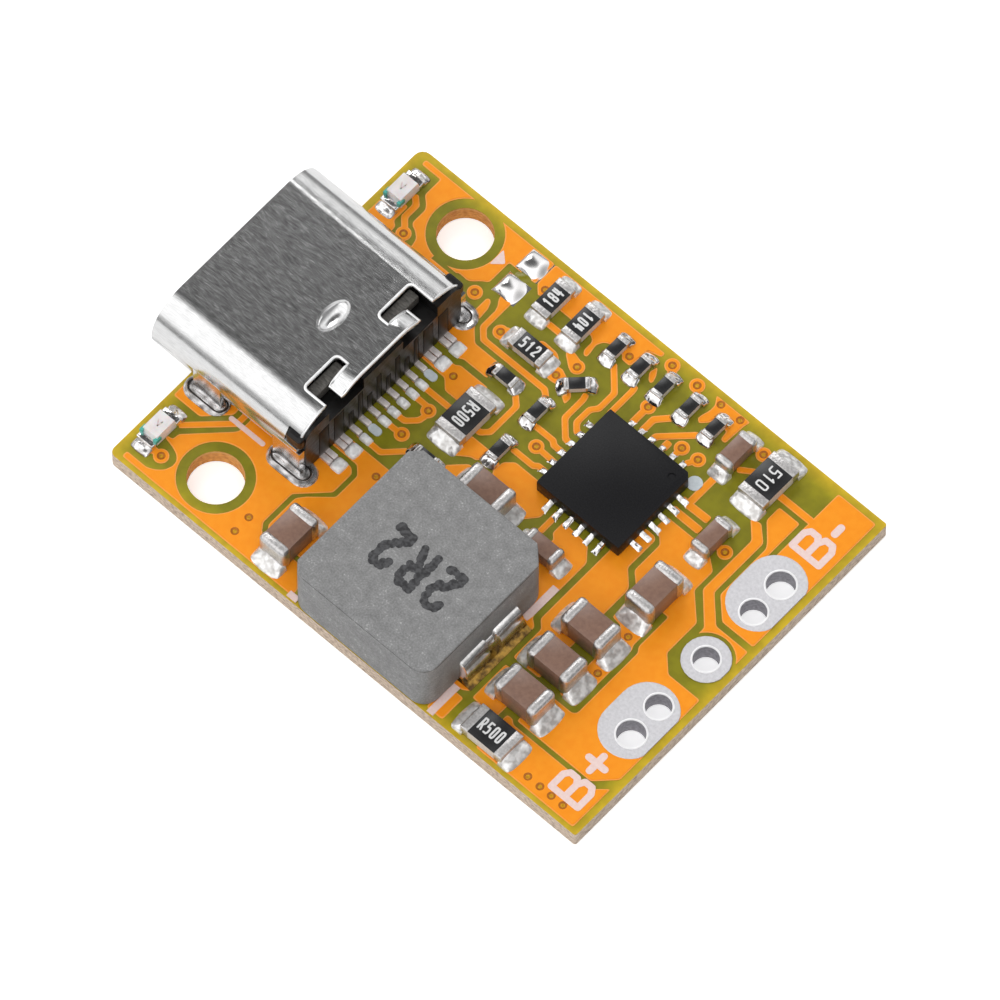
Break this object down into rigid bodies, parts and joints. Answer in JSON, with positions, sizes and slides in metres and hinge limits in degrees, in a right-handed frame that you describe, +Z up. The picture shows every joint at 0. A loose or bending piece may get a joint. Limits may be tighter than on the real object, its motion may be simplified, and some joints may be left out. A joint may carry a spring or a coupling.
{
  "type": "lithium battery charger module",
  "caption": "Small circuit board that charges a lithium battery from a type-C socket, with an inductor, a charge controller, indicator lights and plated wire holes.",
  "frame": {"origin": "centre of the board's underside", "axes": "+X along the board from the socket to the wire holes, +Y across the board, +Z up from the underside through the parts"},
  "size_m": [0.0244, 0.0168, 0.004],
  "materials": {
    "coated_board": "orange coated copper over an olive coated ground",
    "tinned_copper": "dull bright tin on copper",
    "solder": "bright reflowed solder",
    "plated_steel": "brushed, nickel plated",
    "black_polymer": "moulded, slightly shiny",
    "plated_contact": "bright tin plate",
    "iron_powder": "matt pressed powder",
    "black_epoxy": "fine matt moulding",
    "black_glaze": "glazed",
    "taupe_ceramic": "satin fired ceramic",
    "white_laminate": "white laminate with tinned ends",
    "milky_epoxy": "milky, slightly clear"
  },
  "bodies": {
    "root": {"battery_centre_terminal": "tinned_copper", "battery_negative_terminal": "tinned_copper", "battery_positive_terminal": "tinned_copper", "capacitor_0603_1": "taupe_ceramic", "capacitor_0603_2": "taupe_ceramic", "capacitor_0603_3": "taupe_ceramic", "capacitor_0805_1": "taupe_ceramic", "capacitor_0805_2": "taupe_ceramic", "capacitor_0805_3": "taupe_ceramic", "capacitor_0805_4": "taupe_ceramic", "capacitor_0805_5": "taupe_ceramic", "capacitor_0805_6": "taupe_ceramic", "charge_controller": "black_epoxy", "circuit_board": "coated_board", "indicator_lower_base": "white_laminate", "indicator_lower_lens": "milky_epoxy", "indicator_upper_base": "white_laminate", "indicator_upper_lens": "milky_epoxy", "inductor_core": "iron_powder", "inductor_land_left": "solder", "inductor_land_right": "solder", "inductor_terminal_left": "tinned_copper", "inductor_terminal_right": "tinned_copper", "leg_eyelet_front_lower": "solder", "leg_eyelet_front_upper": "solder", "leg_eyelet_rear_lower": "solder", "leg_eyelet_rear_upper": "solder", "resistor_0402_1": "black_glaze", "resistor_0402_10": "black_glaze", "resistor_0402_2": "black_glaze", "resistor_0402_3": "black_glaze", "resistor_0402_4": "black_glaze", "resistor_0402_5": "black_glaze", "resistor_0402_6": "black_glaze", "resistor_0402_7": "black_glaze", "resistor_0402_8": "black_glaze", "resistor_0402_9": "black_glaze", "resistor_0603_1": "black_glaze", "resistor_0603_2": "black_glaze", "resistor_0603_3": "black_glaze", "resistor_0805_1": "black_glaze", "resistor_0805_2": "black_glaze", "resistor_0805_3": "black_glaze", "socket_contact_01": "plated_contact", "socket_contact_02": "plated_contact", "socket_contact_03": "plated_contact", "socket_contact_04": "plated_contact", "socket_contact_05": "plated_contact", "socket_contact_06": "plated_contact", "socket_contact_07": "plated_contact", "socket_contact_08": "plated_contact", "socket_contact_09": "plated_contact", "socket_contact_10": "plated_contact", "socket_contact_11": "plated_contact", "socket_contact_12": "plated_contact", "socket_insert": "black_polymer", "socket_shell": "plated_steel", "spare_pad_lower": "solder", "spare_pad_upper": "solder"}
  },
  "joints": []
}
